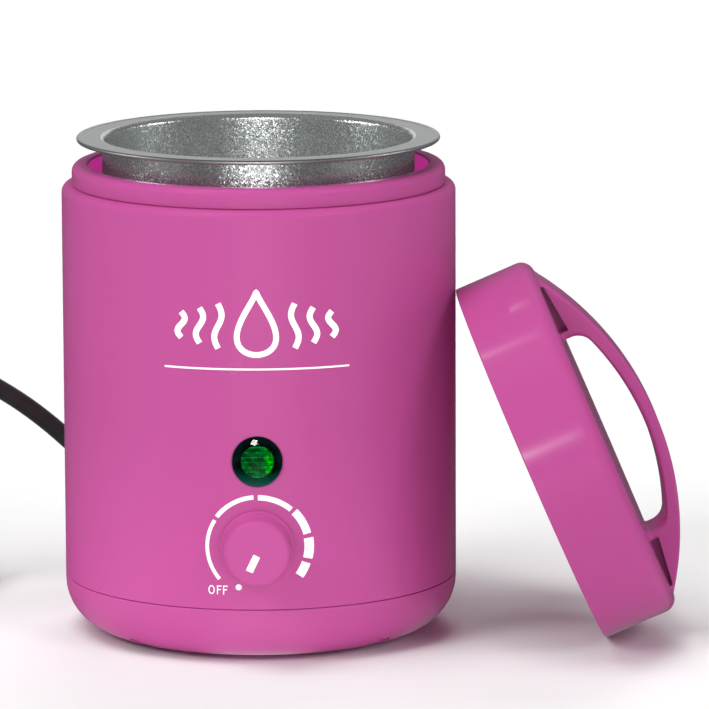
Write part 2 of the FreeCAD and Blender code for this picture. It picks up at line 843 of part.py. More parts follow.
def lid():
    cap = turned([
        (lid_in_r, 0, 0.3),
        (lid_r, 0, 0.5),
        (lid_r, lid_height, lid_edge_r),
        (0, lid_height, 0),
        (0, lid_height - lid_top_t, 0),
        (lid_in_r, lid_height - lid_top_t, 2.6),
    ])
    plate = arch_plate().cut(arch_hole())
    plate = plate.makeFillet(1.5, [e for e in plate.Edges if on_hole_rim(e)])
    moulding = one(cap.fuse(plate))
    moulding = moulding.makeFillet(1.2, [e for e in moulding.Edges if on_foot_outline(e)])
    for end in (-1, 1):
        for side in (-1, 1):
            moulding = moulding.cut(foot_pocket(end, side))
    moulding = one(moulding)
    moulding.rotate(Vector(0, 0, 0), Vector(0, 1, 0), 90 - lid_tilt)
    moulding.rotate(Vector(0, 0, 0), Vector(0, 0, 1), lid_yaw)
    moulding.translate(lid_rim_centre)
    return moulding


PIECES = (
    outer_casing, top_ring, base_cover, foot_ring, base_screws,
    wax_pot, heating_well, well_gasket, ring_screws,
    band_heater, band_screw, band_nut, insulation_sleeve,
    bulb_and_capillary, bulb_clips, thermal_fuse, fuse_clip,
    thermostat_body, thermostat_shaft, thermostat_nut, control_knob, knob_spring,
    lamp_lens, lamp_housing, lamp_nut, neon_bulb, lamp_resistor,
    terminal_block, terminal_screws, block_screws,
    live_wire, neutral_wire, heater_leads, lamp_leads, thermostat_leads,
    cord_boot, cord_tie, mains_cord, plug_body, plug_pins,
    lid,
)

os.makedirs("parts", exist_ok=True)
for make in PIECES:
    make().exportStep("parts/" + make.__name__ + ".step")
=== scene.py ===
import bmesh
import bpy
import json
import math
from mathutils import Matrix, Vector


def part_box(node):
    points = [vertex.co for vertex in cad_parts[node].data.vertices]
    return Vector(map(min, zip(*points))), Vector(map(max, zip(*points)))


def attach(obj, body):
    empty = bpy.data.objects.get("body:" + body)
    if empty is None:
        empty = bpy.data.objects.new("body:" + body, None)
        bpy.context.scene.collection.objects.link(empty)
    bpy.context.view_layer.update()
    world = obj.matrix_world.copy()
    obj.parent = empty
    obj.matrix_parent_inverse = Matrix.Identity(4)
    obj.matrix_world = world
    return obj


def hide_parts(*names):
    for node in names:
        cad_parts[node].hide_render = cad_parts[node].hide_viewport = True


# Wax warmer pot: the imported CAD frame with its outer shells, pot, lid, lamp, knob and printed marks built
# again as fine meshes. Shapes are given in millimetres and are turned into metres when a mesh is made.

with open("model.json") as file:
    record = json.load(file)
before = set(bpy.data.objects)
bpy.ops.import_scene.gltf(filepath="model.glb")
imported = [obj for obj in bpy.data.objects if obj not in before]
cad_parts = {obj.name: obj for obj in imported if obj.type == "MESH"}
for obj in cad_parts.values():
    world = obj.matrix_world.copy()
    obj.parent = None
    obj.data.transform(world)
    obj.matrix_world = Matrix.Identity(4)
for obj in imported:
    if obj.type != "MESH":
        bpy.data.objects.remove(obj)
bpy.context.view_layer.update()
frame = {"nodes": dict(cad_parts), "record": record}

MM = 0.001
TURN = 2 * math.pi
ARC_STEP = math.radians(9)        # longest turn between two points of a rounded corner
SHARP_ANGLE = math.radians(33)    # edges that turn more than this stay crisp


def box_mm(node):
    low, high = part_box(node)
    return low / MM, high / MM


# ---- places and sizes taken from the frame ------------------------------------------------------
casing_high = box_mm("outer_casing")[1]
ring_low, ring_high = box_mm("top_ring")
base_low, base_high = box_mm("base_cover")
pot_low, pot_high = box_mm("wax_pot")
knob_low, knob_high = box_mm("control_knob")
lens_low, lens_high = box_mm("lamp_lens")
foot_low, foot_high = box_mm("foot_ring")

drum_r = casing_high.x
shoulder_z = casing_high.z
collar_z = ring_high.z
collar_r = ring_high.x
knob_r = (knob_high.x - knob_low.x) / 2
knob_z = (knob_high.z + knob_low.z) / 2
knob_back_y = knob_high.y
knob_height = knob_high.y - knob_low.y
lamp_r = (lens_high.x - lens_low.x) / 2
lamp_z = (lens_high.z + lens_low.z) / 2
lamp_seat_y = lens_high.y
pot_top_z = pot_high.z
pot_flange_r = pot_high.x
foot_r = -foot_low.x

# ---- sizes of the mouldings ---------------------------------------------------------------------
wall = 2.2
seam_z = 17.2                     # top of the base, where the casing begins
seam_gap = 0.2
post_top_z = 12.0
collar_hole_r = 51.0
clamp_z = ring_low.z
collar_root_r = 54.3
collar_seat_r = collar_root_r - 4.3
base_edge_r = 15.0
post_circle_r = 50.0
post_angles = (45, 135, 225, 315)
pot_r = 46.75
pot_wall = 0.7
knob_crown = 0.35                 # how far the knob's face bulges
knob_face_r = knob_r - 1.3
cord_angle = math.radians(125)
cord_z = 31.0
lid_r = 56.7
lid_in_r = 54.9
lid_height = 23.8
lid_tilt = math.radians(23.3)
lid_yaw = math.radians(1.35)
ink = 0.07                        # thickness of the printed marks above the plastic


# ---- mesh tools ---------------------------------------------------------------------------------
def rounded(corners, closed):
    """Outline through (a, b, corner radius), each corner turned into an arc."""
    points = []
    last = len(corners) - 1
    for i, (a, b, radius) in enumerate(corners):
        here = Vector((a, b))
        if radius == 0 or (not closed and i in (0, last)):
            points.append(here)
            continue
        before = (Vector(corners[i - 1][:2]) - here).normalized()
        after = (Vector(corners[(i + 1) % len(corners)][:2]) - here).normalized()
        half = before.angle(after) / 2
        centre = here + (before + after).normalized() * radius / math.sin(half)
        start = here + before * radius / math.tan(half) - centre
        turn = math.copysign(math.pi - 2 * half, -before.cross(after))
        steps = max(3, math.ceil(abs(turn) / ARC_STEP))
        for k in range(steps + 1):
            points.append(centre + Matrix.Rotation(turn * k / steps, 2) @ start)
    return points


def spaced(points, longest):
    """The closed outline with no stretch longer than the given length."""
    fine = []
    for i, here in enumerate(points):
        follow = points[(i + 1) % len(points)]
        on_axis = here.x < 1e-6 or follow.x < 1e-6
        parts = 1 if on_axis else max(1, math.ceil((follow - here).length / longest))
        fine += [here.lerp(follow, k / parts) for k in range(parts)]
    return fine


def upright(r, angle, h):
    return Vector((r * math.cos(angle), r * math.sin(angle), h))


def facing_front(y, z):
    """Place for a turned piece whose axis points at -Y, with heights counted from y."""
    return lambda r, angle, h: Vector((r * math.cos(angle), y - h, z + r * math.sin(angle)))


def along_outlet(r, angle, h):
    """Place for a turned piece whose axis is the cord outlet, with heights counted from the drum's axis."""
    out = Vector((math.cos(cord_angle), math.sin(cord_angle), 0))
    side = Vector((-out.y, out.x, 0))
    return out * h + side * r * math.cos(angle) + Vector((0, 0, cord_z + r * math.sin(angle)))


def add_turned(mesh, corners, place=upright, turns=256, longest=4.0):
    """Adds a closed solid of revolution of the outline (radius, height, corner radius)."""
    outline = spaced(rounded(corners, True), longest)
    rings = []
    for point in outline:
        if point.x < 1e-6:
            rings.append([mesh.verts.new(place(0, 0, point.y))])
        else:
            rings.append([mesh.verts.new(place(point.x, TURN * k / turns, point.y)) for k in range(turns)])
    for i, ring in enumerate(rings):
        follow = rings[(i + 1) % len(rings)]
        flat = abs(outline[i].y - outline[(i + 1) % len(rings)].y) < 1e-6
        if len(ring) == 1 and len(follow) == 1:
            continue
        if flat and 1 in (len(ring), len(follow)):
            mesh.faces.new(ring if len(follow) == 1 else follow)
            continue
        for k in range(turns):
            k_next = (k + 1) % turns
            if len(ring) == 1:
                mesh.faces.new((ring[0], follow[k_next], follow[k]))
            elif len(follow) == 1:
                mesh.faces.new((ring[k], ring[k_next], follow[0]))
            else:
                mesh.faces.new((ring[k], ring[k_next], follow[k_next], follow[k]))
    loose = [v for v in mesh.verts if not v.link_faces]
    bmesh.ops.delete(mesh, geom=loose, context="VERTS")


def add_loft(mesh, sections, capped=True):
    """Adds a skin over closed sections that have the same number of points."""
    rings = [[mesh.verts.new(point) for point in section] for section in sections]
    count = len(rings[0])
    for ring, follow in zip(rings, rings[1:]):
        for k in range(count):
            k_next = (k + 1) % count
            mesh.faces.new((ring[k], ring[k_next], follow[k_next], follow[k]))
    if capped:
        mesh.faces.new(list(reversed(rings[0])))
        mesh.faces.new(rings[-1])


def new_piece(name, mesh):
    """Object from a bmesh in millimetres, with its faces turned outwards."""
    bmesh.ops.recalc_face_normals(mesh, faces=mesh.faces)
    bmesh.ops.scale(mesh, vec=(MM, MM, MM), verts=mesh.verts)
    data = bpy.data.meshes.new(name)
    mesh.to_mesh(data)
    mesh.free()
    piece = bpy.data.objects.new(name, data)
    bpy.context.scene.collection.objects.link(piece)
    return piece


def turned_piece(name, corners, place=upright, turns=256, longest=4.0):
    mesh = bmesh.new()
    add_turned(mesh, corners, place, turns, longest)
    return new_piece(name, mesh)


def combine(piece, tool, operation):
    """Cuts the tool out of the piece, or joins it on, and removes the tool."""
    step = piece.modifiers.new("combine", "BOOLEAN")
    step.operation = operation
    step.solver = "EXACT"
    step.object = tool
    graph = bpy.context.evaluated_depsgraph_get()
    result = bpy.data.meshes.new_from_object(piece.evaluated_get(graph))
    piece.modifiers.clear()
    old = piece.data
    piece.data = result
    bpy.data.meshes.remove(old)
    bpy.data.objects.remove(tool)


def dress(piece, finish, body, *nodes):
    """Shading, finish and place in the frame for a new piece."""
    piece.data.shade_smooth()
    piece.data.set_sharp_from_angle(angle=SHARP_ANGLE)
    even = piece.modifiers.new("even_normals", "WEIGHTED_NORMAL")
    even.keep_sharp = True
    even.weight = 80
    piece.data.materials.clear()
    piece.data.materials.append(finishes[finish])
    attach(piece, body)
    if nodes:
        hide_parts(*nodes)
    return piece


# ---- material tools -----------------------------------------------------------------------------
def add_node(tree, kind, inputs=None, **settings):
    """Node with its inputs set or linked, and its settings."""
    made = tree.nodes.new(kind)
    for key, value in settings.items():
        setattr(made, key, value)
    for key, value in (inputs or {}).items():
        if isinstance(value, bpy.types.NodeSocket):
            tree.links.new(value, made.inputs[key])
        else:
            made.inputs[key].default_value = value
    return made


def place_coordinates(tree, scale=(1, 1, 1)):
    coordinates = add_node(tree, "ShaderNodeTexCoord").outputs["Object"]
    return add_node(tree, "ShaderNodeMapping", {"Vector": coordinates, "Scale": scale}).outputs["Vector"]


def noise(tree, where, size_mm, detail=3.0, roughness=0.5):
    """Noise whose features are about the given size."""
    made = add_node(tree, "ShaderNodeTexNoise", {
        "Vector": where, "Scale": 1 / (size_mm * MM), "Detail": detail, "Roughness": roughness})
    return made.outputs["Fac"]


def remap(tree, value, low, high, out_low, out_high):
    made = add_node(tree, "ShaderNodeMapRange", {
        "Value": value, "From Min": low, "From Max": high, "To Min": out_low, "To Max": out_high})
    return made.outputs["Result"]


def maths(tree, operation, *values):
    """Result of a math node on numbers or sockets."""
    return add_node(tree, "ShaderNodeMath", dict(enumerate(values)), operation=operation).outputs[0]


def split(tree, vector):
    """The X, Y and Z sockets of a vector."""
    return add_node(tree, "ShaderNodeSeparateXYZ", {"Vector": vector}).outputs


def stepped(tree, value, stops):
    """Level that runs through (position, level) stops."""
    ramp = add_node(tree, "ShaderNodeValToRGB", {"Fac": value})
    while len(ramp.color_ramp.elements) < len(stops):
        ramp.color_ramp.elements.new(0.5)
    for element, (position, level) in zip(ramp.color_ramp.elements, stops):
        element.position = position
    for element, (position, level) in zip(ramp.color_ramp.elements, stops):
        element.color = (level, level, level, 1)
    return ramp.outputs["Color"]


def mixed(tree, factor, first, second, blend="MIX"):
    made = add_node(tree, "ShaderNodeMix", {"Factor": factor}, data_type="RGBA", blend_type=blend)
    for socket, value in ((made.inputs[6], first), (made.inputs[7], second)):
        if isinstance(value, bpy.types.NodeSocket):
            tree.links.new(value, socket)
        else:
            socket.default_value = (*value, 1)
    return made.outputs[2]


def shade(colour, factor):
    return tuple(min(1.0, part * factor) for part in colour)


def start_material(name):
    material = bpy.data.materials.new(name)
    material.use_nodes = True
    tree = material.node_tree
    return material, tree, tree.nodes["Principled BSDF"]


def feed(tree, surface, **inputs):
    """Sets or links inputs of the surface; underscores in the names stand for spaces."""
    for key, value in inputs.items():
        socket = surface.inputs[key.replace("_", " ")]
        if isinstance(value, bpy.types.NodeSocket):
            tree.links.new(value, socket)
        else:
            socket.default_value = value


def relief(tree, height, depth_mm, strength=1.0, under=None):
    inputs = {"Height": height, "Distance": depth_mm * MM, "Strength": strength}
    if under is not None:
        inputs["Normal"] = under
    return add_node(tree, "ShaderNodeBump", inputs).outputs["Normal"]


def edge_wear(tree, low=0.52, high=0.62):
    """1 on raised edges, 0 elsewhere."""
    return remap(tree, add_node(tree, "ShaderNodeNewGeometry").outputs["Pointiness"], low, high, 0, 1)


def moulded(name, colour, roughness, grain_mm=0.5, grain_depth=0.003, tint=0.012, gloss=0.5, worn=0.0,
            painted_light=0.0, painted_floor_light=0.0):
    """Injection-moulded plastic: faint mottling, fine orange peel, uneven gloss and hairline scratches.

    Painted light: a glow that only the camera sees lifts the colour a little, with more near the floor on
    the lit side.
    """
    material, tree, surface = start_material(name)
    where = place_coordinates(tree)
    cloud = noise(tree, where, 34, 2)
    speck = noise(tree, where, 1.3, 2)
    hue = mixed(tree, cloud, shade(colour, 1 - tint), shade(colour, 1 + tint))
    hue = mixed(tree, remap(tree, speck, 0.5, 0.8, 0, 0.2), hue, shade(colour, 1 - 3 * tint))
    wear = edge_wear(tree)
    hue = mixed(tree, remap(tree, wear, 0, 1, 0, worn), hue, tuple(0.8 * part + 0.2 for part in colour))
    smudge = noise(tree, where, 22, 2)
    hairs = noise(tree, place_coordinates(tree, (0.08, 0.08, 1.3)), 0.3, 1)
    scratch = remap(tree, hairs, 0.6, 1.0, 0, 0.006)
    uneven = remap(tree, smudge, 0.1, 0.9, roughness - 0.015, roughness + 0.02)
    total = maths(tree, "ADD", uneven, scratch)
    feed(tree, surface, Base_Color=hue, Specular_IOR_Level=gloss, Roughness=total)
    # painted light: an even lift where the camera looks, plus more low down, fading out towards +X
    if painted_light:
        parts = split(tree, where)
        near_floor = remap(tree, parts["Z"], 0, 70 * MM, painted_floor_light, 0)
        lit_side = remap(tree, parts["X"], 15 * MM, 50 * MM, 1, 0)
        level = maths(tree, "ADD", maths(tree, "MULTIPLY", near_floor, lit_side), painted_light)
        seen = add_node(tree, "ShaderNodeLightPath").outputs["Is Camera Ray"]
        feed(tree, surface, Emission_Color=hue, Emission_Strength=maths(tree, "MULTIPLY", level, seen))
    peel = relief(tree, noise(tree, where, grain_mm, 3), grain_depth, 0.5)
    feed(tree, surface, Normal=relief(tree, noise(tree, where, 14, 1), 0.03, 0.4, peel))
    return material


def rubbery(name, colour, grain_mm=0.35, roughness=0.6):
    """Matte elastomer: fine grain, dust in the low places and a soft sheen."""
    material, tree, surface = start_material(name)
    where = place_coordinates(tree)
    dust = remap(tree, noise(tree, where, 6, 5, 0.6), 0.45, 0.75, 0, 0.35)
    hue = mixed(tree, dust, colour, tuple(part + 0.035 for part in colour))
    grain = noise(tree, where, grain_mm, 4)
    feed(tree, surface, Base_Color=hue,
         Roughness=remap(tree, grain, 0.3, 0.7, roughness - 0.1, roughness + 0.15),
         Sheen_Weight=0.15, Sheen_Roughness=0.4, Normal=relief(tree, grain, 0.03))
    return material


def metal(name, colour, roughness, brush=(1, 1, 0.03), brush_mm=0.2, tarnish=0.25):
    """Bare metal with brush lines along one direction and a cloudy tarnish."""
    material, tree, surface = start_material(name)
    lines = noise(tree, place_coordinates(tree, brush), brush_mm, 3)
    cloud = noise(tree, place_coordinates(tree), 5, 4, 0.6)
    hue = mixed(tree, remap(tree, cloud, 0.35, 0.7, 0, tarnish), colour, shade(colour, 0.55))
    feed(tree, surface, Base_Color=hue, Metallic=1.0,
         Roughness=remap(tree, lines, 0.3, 0.7, roughness - 0.08, roughness + 0.12),
         Normal=relief(tree, lines, 0.01))
    return material


def woven(name, colour, thread_mm, roughness=0.8):
    """Plain weave of yarns that cross at right angles."""
    material, tree, surface = start_material(name)
    where = place_coordinates(tree)
    waves = []
    for axis in ("Z", "X"):
        waves.append(add_node(tree, "ShaderNodeTexWave", {
            "Vector": where, "Scale": 0.16 / (thread_mm * MM), "Distortion": 0.6, "Detail": 1.0},
            wave_type="BANDS", bands_direction=axis).outputs["Fac"])
    weave = maths(tree, "MAXIMUM", *waves)
    fuzz = noise(tree, where, 0.3, 4)
    hue = mixed(tree, weave, shade(colour, 0.6), colour)
    hue = mixed(tree, remap(tree, fuzz, 0.4, 0.7, 0, 0.3), hue, shade(colour, 1.15))
    feed(tree, surface, Base_Color=hue, Roughness=roughness, Sheen_Weight=0.3,
         Normal=relief(tree, weave, 0.12, 0.8))
    return material


def spangled_metal():
    """Thin pressed metal whose surface is full of tiny facets that each catch the light differently."""
    material, tree, surface = start_material("spangled_metal")
    where = place_coordinates(tree)
    tilted = add_node(tree, "ShaderNodeNewGeometry").outputs["Normal"]
    for size_mm, tilt in ((0.42, 0.15), (0.24, 0.15)):
        cells = add_node(tree, "ShaderNodeTexVoronoi", {"Vector": where, "Scale": 1 / (size_mm * MM)})
        centred = add_node(tree, "ShaderNodeVectorMath", {0: cells.outputs["Color"], 1: (0.5, 0.5, 0.5)},
                           operation="SUBTRACT").outputs["Vector"]
        lean = add_node(tree, "ShaderNodeVectorMath", {0: centred, "Scale": tilt}, operation="SCALE")
        tilted = add_node(tree, "ShaderNodeVectorMath", {0: tilted, 1: lean.outputs["Vector"]},
                          operation="ADD").outputs["Vector"]
    tilted = add_node(tree, "ShaderNodeVectorMath", {0: tilted}, operation="NORMALIZE").outputs["Vector"]
    cloud = noise(tree, where, 12, 4)
    grain = noise(tree, where, 0.4, 2)
    hue = mixed(tree, cloud, (0.56, 0.59, 0.58), (0.62, 0.64, 0.63))
    feed(tree, surface, Base_Color=hue, Metallic=0.82,
         Roughness=remap(tree, grain, 0.3, 0.7, 0.22, 0.30), Normal=relief(tree, grain, 0.004, 0.4, tilted))
    return material


def glass(name, tint, roughness=0.06, painted_light=0.0, mirroring=1.0):
    """Clear coloured plastic or glass: it lets light through and mirrors; its lower rim glows with painted
    light for the light it would gather there.
    """
    material, tree, surface = start_material(name)
    tree.nodes.remove(surface)
    where = place_coordinates(tree)
    smear = noise(tree, where, 2.5, 3)
    depth = mixed(tree, remap(tree, noise(tree, where, 1.2, 2), 0.3, 0.7, 0, 0.3), tint, shade(tint, 0.7))
    see_through = add_node(tree, "ShaderNodeBsdfTransparent", {"Color": depth})
    mirror = add_node(tree, "ShaderNodeBsdfGlossy", {
        "Color": (mirroring, mirroring, mirroring, 1),
        "Roughness": remap(tree, smear, 0.3, 0.7, roughness, roughness + 0.03)})
    facing = add_node(tree, "ShaderNodeNewGeometry").outputs["Normal"]
    # painted light: emission on faces that look down, where the rim would gather light
    lower = remap(tree, split(tree, facing)["Z"], -0.2, -0.75, 0, painted_light)
    painted_rim_light = add_node(tree, "ShaderNodeEmission", {"Color": (*tint, 1), "Strength": lower})
    inner = add_node(tree, "ShaderNodeAddShader", {0: see_through.outputs[0], 1: painted_rim_light.outputs[0]})
    edge = add_node(tree, "ShaderNodeFresnel", {"IOR": 1.45})
    shown = add_node(tree, "ShaderNodeMixShader", {
        0: edge.outputs[0], 1: inner.outputs[0], 2: mirror.outputs[0]})
    tree.links.new(shown.outputs[0], tree.nodes["Material Output"].inputs["Surface"])
    return material


def lamp_window():
    """Moulded prisms behind the lens: green plastic with painted light, glowing, and brighter green on its
    right.
    """
    material, tree, surface = start_material("lamp_window")
    where = place_coordinates(tree)
    # painted light: the window is given a brighter, greener colour towards its right
    right = remap(tree, split(tree, where)["X"], 1.9 * MM, 2.9 * MM, 0, 1)
    cloud = noise(tree, where, 1.3, 3)
    facing = add_node(tree, "ShaderNodeNewGeometry").outputs["Normal"]
    # painted light: the whole window glows, most on facets that face up
    painted_catch_light = remap(tree, split(tree, facing)["Z"], -0.15, 0.45, 0.5, 3.4)
    hue = mixed(tree, right, (0.001, 0.38, 0.22), (0.006, 1.0, 0.02))
    hue = mixed(tree, remap(tree, cloud, 0.42, 0.62, 0, 0.8), hue, (0.0, 0.05, 0.02))
    feed(tree, surface, Base_Color=hue, Roughness=0.12, Emission_Color=hue, Emission_Strength=painted_catch_light,
         Normal=relief(tree, noise(tree, where, 0.4, 2), 0.03))
    return material


def printed_ink():
    """White pad-printed ink with a faint grain."""
    material, tree, surface = start_material("white_ink")
    where = place_coordinates(tree)
    hue = mixed(tree, noise(tree, where, 0.6, 3), (0.93, 0.93, 0.93), (0.99, 0.98, 0.99))
    # painted light: the ink glows a little, so it stays white where it is shaded
    feed(tree, surface, Base_Color=hue, Emission_Color=hue, Emission_Strength=0.2,
         Roughness=remap(tree, noise(tree, where, 1.5, 2), 0.3, 0.7, 0.4, 0.55),
         Normal=relief(tree, noise(tree, where, 0.25, 2), 0.01))
    return material


PINK = (0.52, 0.082, 0.305)

finishes = {
    # the pink finishes carry painted light: a glow seen only by the camera, and on the shell and knob more
    # of it near the floor on the left
    "pink_shell": moulded("pink_shell", PINK, 0.26, gloss=0.35, painted_light=0.03, painted_floor_light=0.24),
    # inside of the collar: a deeper copy of the same pink with a strong glow, painted light on a wall that
    # stands in shade
    "pink_inside": moulded("pink_inside", (0.50, 0.03, 0.27), 0.3, gloss=0.2, painted_light=0.7),
    "pink_knob": moulded("pink_knob", PINK, 0.20, 0.35, 0.002, gloss=0.3, painted_light=0.03, painted_floor_light=0.12),
    # lid: the casing's pink painted 12% darker as painted shade, then lifted a little by painted light
    "pink_lid": moulded("pink_lid", shade(PINK, 0.88), 0.15, 0.6, 0.002, gloss=0.25, painted_light=0.07),
    "black_rubber": rubbery("black_rubber", (0.018, 0.018, 0.019)),
    "black_cord": rubbery("black_cord", (0.022, 0.022, 0.023), 0.5, 0.42),
    "zinc_steel": metal("zinc_steel", (0.62, 0.60, 0.52), 0.3),
    "spangled_metal": spangled_metal(),
    "flange_metal": metal("flange_metal", (0.52, 0.53, 0.53), 0.42, (1, 1, 1), 0.35, 0.12),
    "spun_aluminium": metal("spun_aluminium", (0.70, 0.71, 0.72), 0.34, (0.03, 0.03, 1), 0.25),
    "white_silicone": rubbery("white_silicone", (0.78, 0.77, 0.73), 0.4, 0.5),
    "mica_band": moulded("mica_band", (0.42, 0.33, 0.20), 0.35, 1.5, 0.03, 0.25),
    "glass_fibre": woven("glass_fibre", (0.80, 0.78, 0.70), 0.9),
    "copper": metal("copper", (0.80, 0.36, 0.20), 0.25),
    "brass": metal("brass", (0.78, 0.58, 0.24), 0.26),
    "nickel_brass": metal("nickel_brass", (0.66, 0.63, 0.56), 0.18),
    "brown_resin": moulded("brown_resin", (0.13, 0.05, 0.025), 0.4, 0.8, 0.01, 0.15),
    "black_resin": moulded("black_resin", (0.02, 0.02, 0.022), 0.36, 0.6, 0.01, 0.12),
    # green lens: its lower rim glows with painted light
    "green_lens": glass("green_lens", (0.01, 0.48, 0.26), 0.03, 0.22, 0.3),
    "clear_glass": glass("clear_glass", (0.92, 0.93, 0.92), 0.03),
    "ceramic_body": moulded("ceramic_body", (0.74, 0.70, 0.60), 0.55, 0.6, 0.02, 0.08),
    "white_resin": moulded("white_resin", (0.80, 0.79, 0.76), 0.38, 0.6, 0.01, 0.05),
    "brown_wire": moulded("brown_wire", (0.16, 0.06, 0.025), 0.42, 0.4, 0.008, 0.1),
    "blue_wire": moulded("blue_wire", (0.03, 0.10, 0.42), 0.42, 0.4, 0.008, 0.1),
    "white_wire": woven("white_wire", (0.80, 0.79, 0.75), 0.35, 0.7),
    "black_wire": moulded("black_wire", (0.02, 0.02, 0.02), 0.42, 0.4, 0.008, 0.1),
    "lamp_window": lamp_window(),
    "white_ink": printed_ink(),
}

for part in frame["record"]["subparts"]:
    for place in frame["nodes"][part["node"]].material_slots:
        place.link = "OBJECT"
        place.material = finishes[part["material_slot"]]


# ---- outer shells -------------------------------------------------------------------------------
def add_rod(mesh, place, radius, low, high, turns=96):
    add_turned(mesh, [(0, low, 0), (radius, low, 0), (radius, high, 0), (0, high, 0)], place, turns, 50)


def casing():
    inner_r = drum_r - wall
    shell = turned_piece("casing_shell", [
        (inner_r, seam_z, 0),
        (drum_r, seam_z, 0.3),
        (drum_r, shoulder_z, 2.4),
        (collar_root_r + 0.2, shoulder_z, 0),
        (collar_root_r + 0.2, clamp_z, 0),
        (inner_r, clamp_z, 0),
    ])
    behind_wall_y = -50
    knob_flat_r, knob_flat_depth, spindle_hole_r = 9.6, 0.8, 5.05
    lamp_flat_r, lamp_flat_depth, lamp_hole_r = lamp_r + 0.28, 0.7, 6.3
    cord_flat_r, cord_flat_depth, cord_hole_r = 6.8, 0.4, 5.0
    cuts = bmesh.new()
    add_rod(cuts, facing_front(-drum_r + knob_flat_depth, knob_z), knob_flat_r, 0, 6, 128)
    add_rod(cuts, facing_front(behind_wall_y, knob_z), spindle_hole_r, 0, 9, 96)
    add_rod(cuts, facing_front(-drum_r + lamp_flat_depth, lamp_z), lamp_flat_r, 0, 6, 128)
    add_rod(cuts, facing_front(behind_wall_y, lamp_z), lamp_hole_r, 0, 9, 96)
    add_rod(cuts, along_outlet, cord_flat_r, drum_r - cord_flat_depth, drum_r + 6, 96)
    add_rod(cuts, along_outlet, cord_hole_r, drum_r - 8, drum_r, 96)
    combine(shell, new_piece("cuts", cuts), "DIFFERENCE")
    return dress(shell, "pink_shell", "base", "outer_casing")


def collar():
    ring = turned_piece("collar_ring", [
        (collar_seat_r, clamp_z, 0),
        (collar_root_r, clamp_z, 0),
        (collar_root_r, shoulder_z + 0.02, 0),
        (collar_r - 0.3, shoulder_z + 0.02, 0),
        (collar_r, shoulder_z + 0.3, 0.1),
        (collar_r, collar_z, 2.4),
        (collar_hole_r, collar_z, 0.7),
        (collar_hole_r, clamp_z + 5.5, 0),
        (collar_seat_r, clamp_z + 4.5, 0),
    ])
    dress(ring, "pink_shell", "base", "top_ring")
    # faces inside the collar's hole take the pink_inside finish, which carries painted light
    ring.data.materials.append(finishes["pink_inside"])
    for face in ring.data.polygons:
        middle = face.center / MM
        if math.hypot(middle.x, middle.y) < collar_hole_r + 0.05 and middle.z < collar_z - 0.8:
            face.material_index = 1
    return ring


def base():
    floor_z = base_low.z + 2.4
    spigot_r = drum_r - wall - 0.2
    spigot_top_z = base_high.z
    groove_in_r = foot_r - 5.9
    post_r, screw_r, screw_head_r, screw_head_top_z = 4.2, 1.7, 3.3, 6
    vent_in_r, vent_out_r, vent_half, vent_count = 18, 30, 1.25, 8
    dish = turned_piece("base_dish", [
        (0, base_low.z, 0),
        (groove_in_r, base_low.z, 0),
        (groove_in_r, foot_high.z, 0),
        (foot_high.x + 0.1, foot_high.z, 0),
        (foot_high.x + 0.1, base_low.z, 0),
        (drum_r, base_low.z, base_edge_r),
        (drum_r, seam_z - seam_gap, 0.25),
        (spigot_r, seam_z - seam_gap, 0),
        (spigot_r, spigot_top_z, 0.4),
        (spigot_r - wall, spigot_top_z, 0.4),
        (spigot_r - wall, floor_z, base_edge_r - 4.5),
        (0, floor_z, 0),
    ])
    posts = bmesh.new()
    for degrees in post_angles:
        centre = upright(post_circle_r, math.radians(degrees), 0)

        def in_post(r, angle, h):
            """Place in this post, kept inside the rounded edge of the dish."""
            point = centre + upright(r, angle, h)
            past_flat = max(0.0, math.hypot(point.x, point.y) - (drum_r - base_edge_r))
            under = base_low.z + base_edge_r - math.sqrt(base_edge_r ** 2 - past_flat ** 2)
            point.z = max(point.z, under + 0.5)
            return point

        add_rod(posts, in_post, post_r, 0, post_top_z, 64)
    combine(dish, new_piece("posts", posts), "UNION")
    cuts = bmesh.new()
    for degrees in post_angles:
        centre = upright(post_circle_r, math.radians(degrees), 0)
        add_turned(cuts, [
            (0, -1, 0),
            (screw_head_r, -1, 0),
            (screw_head_r, screw_head_top_z, 0),
            (screw_r, screw_head_top_z, 0),
            (screw_r, post_top_z + 1, 0),
            (0, post_top_z + 1, 0),
        ], lambda r, angle, h: centre + upright(r, angle, h), 64, 50)
    for k in range(vent_count):
        heading = Matrix.Rotation(math.radians(45 * k - 22.5), 3, "Z")
        outline = rounded([
            (vent_in_r, -vent_half, 1.2),
            (vent_out_r, -vent_half, 1.2),
            (vent_out_r, vent_half, 1.2),
            (vent_in_r, vent_half, 1.2),
        ], True)
        add_loft(cuts, [[heading @ Vector((p.x, p.y, z)) for p in outline] for z in (-1, floor_z + 1)])
    combine(dish, new_piece("cuts", cuts), "DIFFERENCE")
    return dress(dish, "pink_shell", "base", "base_cover")


def foot():
    """Rubber ring under the base, with a shallow groove in its tread."""
    ring = turned_piece("foot_pad_ring", [
        (foot_r - 5.8, 0, 0.5),
        (foot_r - 3.4, 0, 0.3),
        (foot_r - 2.9, 0.45, 0.3),
        (foot_r - 2.4, 0, 0.3),
        (foot_high.x, 0, 0.5),
        (foot_high.x, foot_high.z, 0),
        (foot_r - 5.8, foot_high.z, 0),
    ])
    return dress(ring, "black_rubber", "base", "foot_ring")


